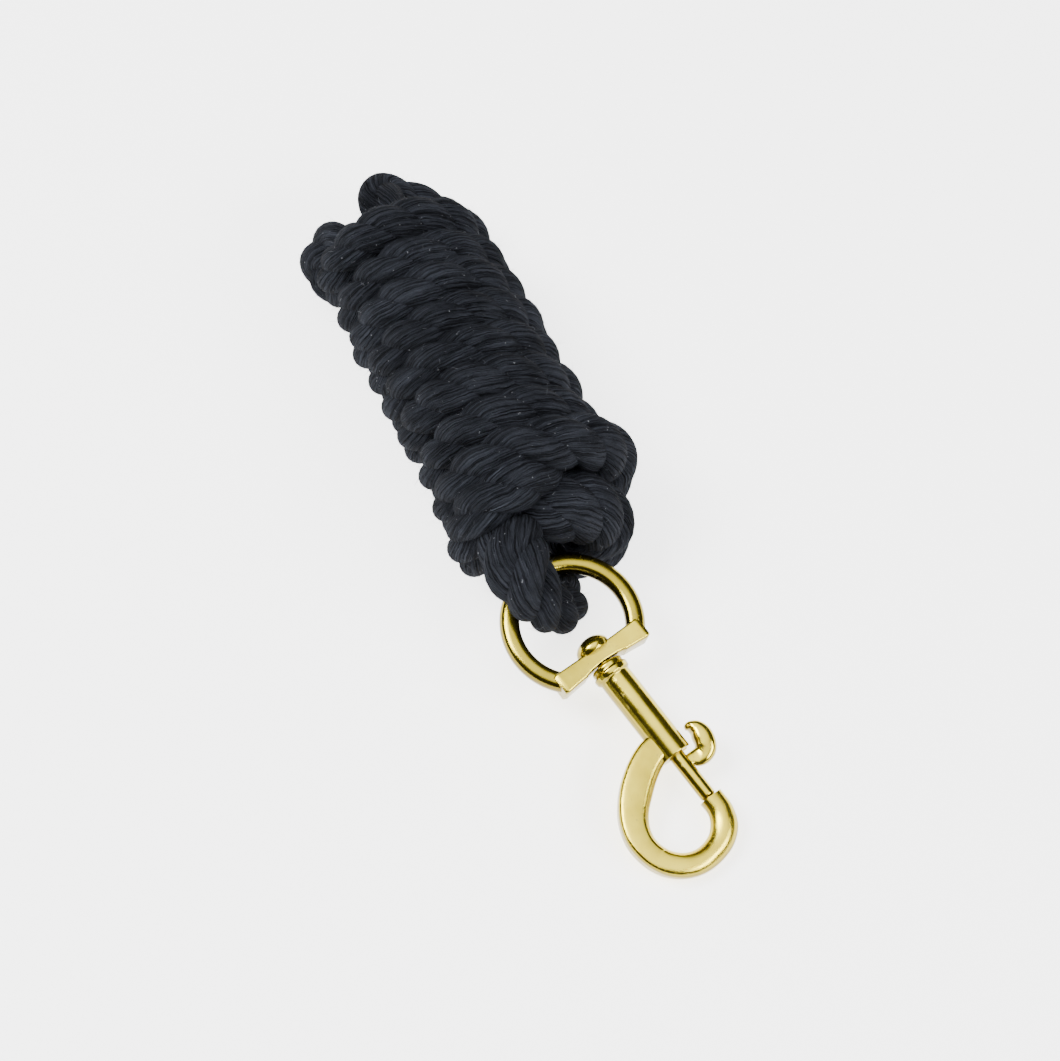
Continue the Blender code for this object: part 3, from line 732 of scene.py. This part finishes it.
def make_snap(satin, polished):
    """The barrel with its collar, bore and slot, and the hook with the socket in its nose."""
    barrel = lathe("barrel", rounded_profile([
        (15.9, 0.0), (15.9, 4.5), (16.5, 5.2), (17.9, 5.1), (18.3, 5.8), (20.0, 5.65), (20.6, 4.9),
        (22.5, 5.0), (50.0, 5.0), (50.0, 2.75), (26.0, 2.75), (26.0, 0.0)], 0.4), 72,
        (math.radians(140), 0.982))
    slot = box((38.6, 1.0, -1.9), (52.0, 7.0, 1.9))
    barrel = cut(barrel, slot)
    tube = add_piece("barrel", creased(barrel, 38.0), polished, "snap", SNAP_FRAME)
    socket = lathe("socket", [(60.0, 0.0), (60.0, 2.1), (67.6, 2.1), (67.6, 0.0)], 32)
    bore = lathe("hook_bore", [(36.0, 0.0), (36.0, 2.9), (58.0, 2.9), (58.0, 0.0)], 32)
    hook = cut(make_hook(), socket, bore, slot)
    blade = add_piece("hook", creased(hook, 34.0), satin, "snap", SNAP_FRAME)
    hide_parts("snap_body")
    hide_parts("snap_body")


def make_bolt(mat):
    """The sliding rod, and the curled thumb piece on its pin."""
    profile = rounded_profile([(44.0, 0.0), (44.0, 2.4), (64.9, 2.4), (65.4, 1.9), (66.9, 1.75),
                               (67.1, 0.0)], 0.3)
    rod = add_piece("rod", creased(lathe("rod", profile, 40), 40.0), mat, "bolt",
                    SNAP_FRAME)
    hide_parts("plunger_bolt")
    # the curl: middle line along and aside, half thickness, half width
    knots = np.array([(53.6, 0.6, 1.5, 1.45), (53.6, 2.9, 2.1, 1.5), (54.1, 4.6, 2.7, 1.6),
                      (54.4, 6.5, 2.9, 2.3), (53.6, 8.3, 3.1, 2.9), (51.7, 9.5, 3.1, 3.3),
                      (49.3, 10.0, 3.0, 3.4), (47.1, 9.8, 2.4, 3.1), (45.5, 8.8, 1.5, 2.6),
                      (44.9, 7.7, 1.0, 1.6)])
    marks = np.arange(len(knots), dtype=float)
    fine = np.linspace(0, len(knots) - 1, 64)
    rows = np.stack([spline(marks, knots[:, k], fine) for k in range(4)], axis=1)
    along = np.gradient(rows[:, :2], axis=0)
    along /= np.linalg.norm(along, axis=1)[:, None]
    sections = []
    for (x, y, thick, wide), (dx, dy) in zip(rows, along):
        section = []
        for k in range(28):
            side, up = squared(2 * math.pi * (k + 0.5) / 28, 0.72)
            section.append((x + dy * side * thick, y - dx * side * thick, up * wide))
        sections.append(section)
    # a rounded tip
    for shrink in (0.8, 0.45):
        middle = np.mean(sections[-1], axis=0)
        ahead = np.array((along[-1][0], along[-1][1], 0.0)) * 0.25
        sections.append([tuple(middle + ahead + (np.array(p) - middle) * shrink)
                         for p in sections[-1]])
    knob = add_piece("knob", creased(loft("knob", sections), 45.0), mat, "bolt",
                     SNAP_FRAME)
    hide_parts("thumb_knob")


# ---- floor, light, world ------------------------------------------------------------------

def make_floor():
    mesh = bpy.data.meshes.new("floor")
    half, z = 3.0, -0.0004
    mesh.from_pydata([(-half, -half, z), (half, -half, z), (half, half, z), (-half, half, z)],
                     [], [(0, 1, 2, 3)])
    floor = bpy.data.objects.new("floor", mesh)
    bpy.context.scene.collection.objects.link(floor)
    mesh.materials.append(floor_material())


def area_light(name, place, aim, size, power):
    """A soft lamp at place, in metres, turned to aim."""
    light = bpy.data.lights.new(name, "AREA")
    light.shape = "RECTANGLE"
    light.size, light.size_y = size
    light.energy = power
    obj = bpy.data.objects.new(name, light)
    bpy.context.scene.collection.objects.link(obj)
    obj.location = place
    obj.rotation_mode = "QUATERNION"
    obj.rotation_quaternion = (Vector(aim) - Vector(place)).to_track_quat("-Z", "Y")


def make_light():
    """A white table that runs into a white wall low down, and a white tent overhead; the open
    room between the two is dark."""
    world = bpy.data.worlds.new("studio")
    bpy.context.scene.world = world
    world.use_nodes = True
    tree = world.node_tree
    ground = tree.nodes["Background"]
    coords = tree.nodes.new("ShaderNodeTexCoord")
    split = tree.nodes.new("ShaderNodeSeparateXYZ")
    tree.links.new(coords.outputs["Generated"], split.inputs["Vector"])
    # overhead tent and low wall: where each starts and ends in Z, and its strength there
    bands = []
    for start, end, low, high in ((0.78, 0.97, 0.05, 2.5), (0.05, 0.14, 1.0, 0.0)):
        ramp = tree.nodes.new("ShaderNodeMapRange")
        ramp.interpolation_type = "SMOOTHSTEP"
        tree.links.new(split.outputs["Z"], ramp.inputs["Value"])
        ramp.inputs["From Min"].default_value = start
        ramp.inputs["From Max"].default_value = end
        ramp.inputs["To Min"].default_value = low
        ramp.inputs["To Max"].default_value = high
        bands.append(ramp.outputs["Result"])
    total = tree.nodes.new("ShaderNodeMath")
    tree.links.new(bands[0], total.inputs[0])
    tree.links.new(bands[1], total.inputs[1])
    tree.links.new(total.outputs["Value"], ground.inputs["Strength"])
    ground.inputs["Color"].default_value = (1.0, 1.0, 1.0, 1.0)
    area_light("key", (-0.35, -0.75, 1.25), (0.0, 0.0, 0.0), (0.7, 0.7), 34.0)
    area_light("fill", (0.95, 0.65, 0.9), (0.0, 0.0, 0.0), (0.9, 0.4), 20.0)


# ---- the whole ----------------------------------------------------------------------------

make_camera()
cotton = cotton_material()
polished = brass_material("polished_brass", 0.1)
satin = brass_material("satin_brass", 0.8)
make_rope(cotton)
# the ring's brass, darkened all over as painted shade
shaded_ring_brass = brass_material("ring_brass_painted_shade", 0.25, 0.44)
make_eye(satin, shaded_ring_brass)
make_rivet(polished)
make_snap(satin, polished)
make_bolt(polished)
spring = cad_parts["plunger_spring"]
spring.data.materials.clear()
spring.data.materials.append(steel_material())
make_floor()
make_light()
